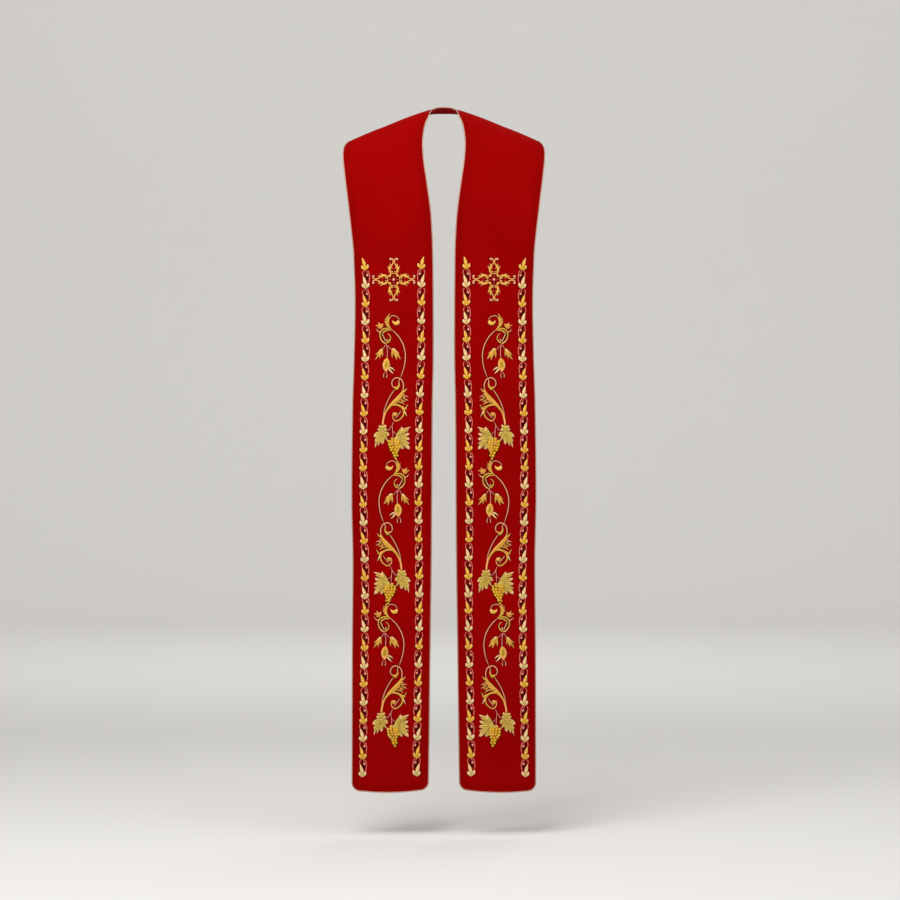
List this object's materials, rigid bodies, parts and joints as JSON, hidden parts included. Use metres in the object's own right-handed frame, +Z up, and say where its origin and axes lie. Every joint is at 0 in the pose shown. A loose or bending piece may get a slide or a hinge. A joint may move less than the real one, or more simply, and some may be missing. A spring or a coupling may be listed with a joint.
{
  "type": "clergy stole",
  "caption": "Long cloth stole worn round the neck, its ends hanging in front, edged with piping and kept in the hollow form of a wearer's shoulders.",
  "frame": {"origin": "the top of the nape, at the middle of the back of the neck opening", "axes": "+Z up, +X to the wearer's left, -Y to the front, where both ends hang"},
  "size_m": [0.4006, 0.2029, 1.3554],
  "materials": {
    "red_cloth": "satin",
    "gold_piping": "satin"
  },
  "bodies": {
    "root": {"stole_half_left": "red_cloth", "stole_half_right": "red_cloth", "piping_left": "gold_piping", "piping_right": "gold_piping"}
  },
  "joints": []
}
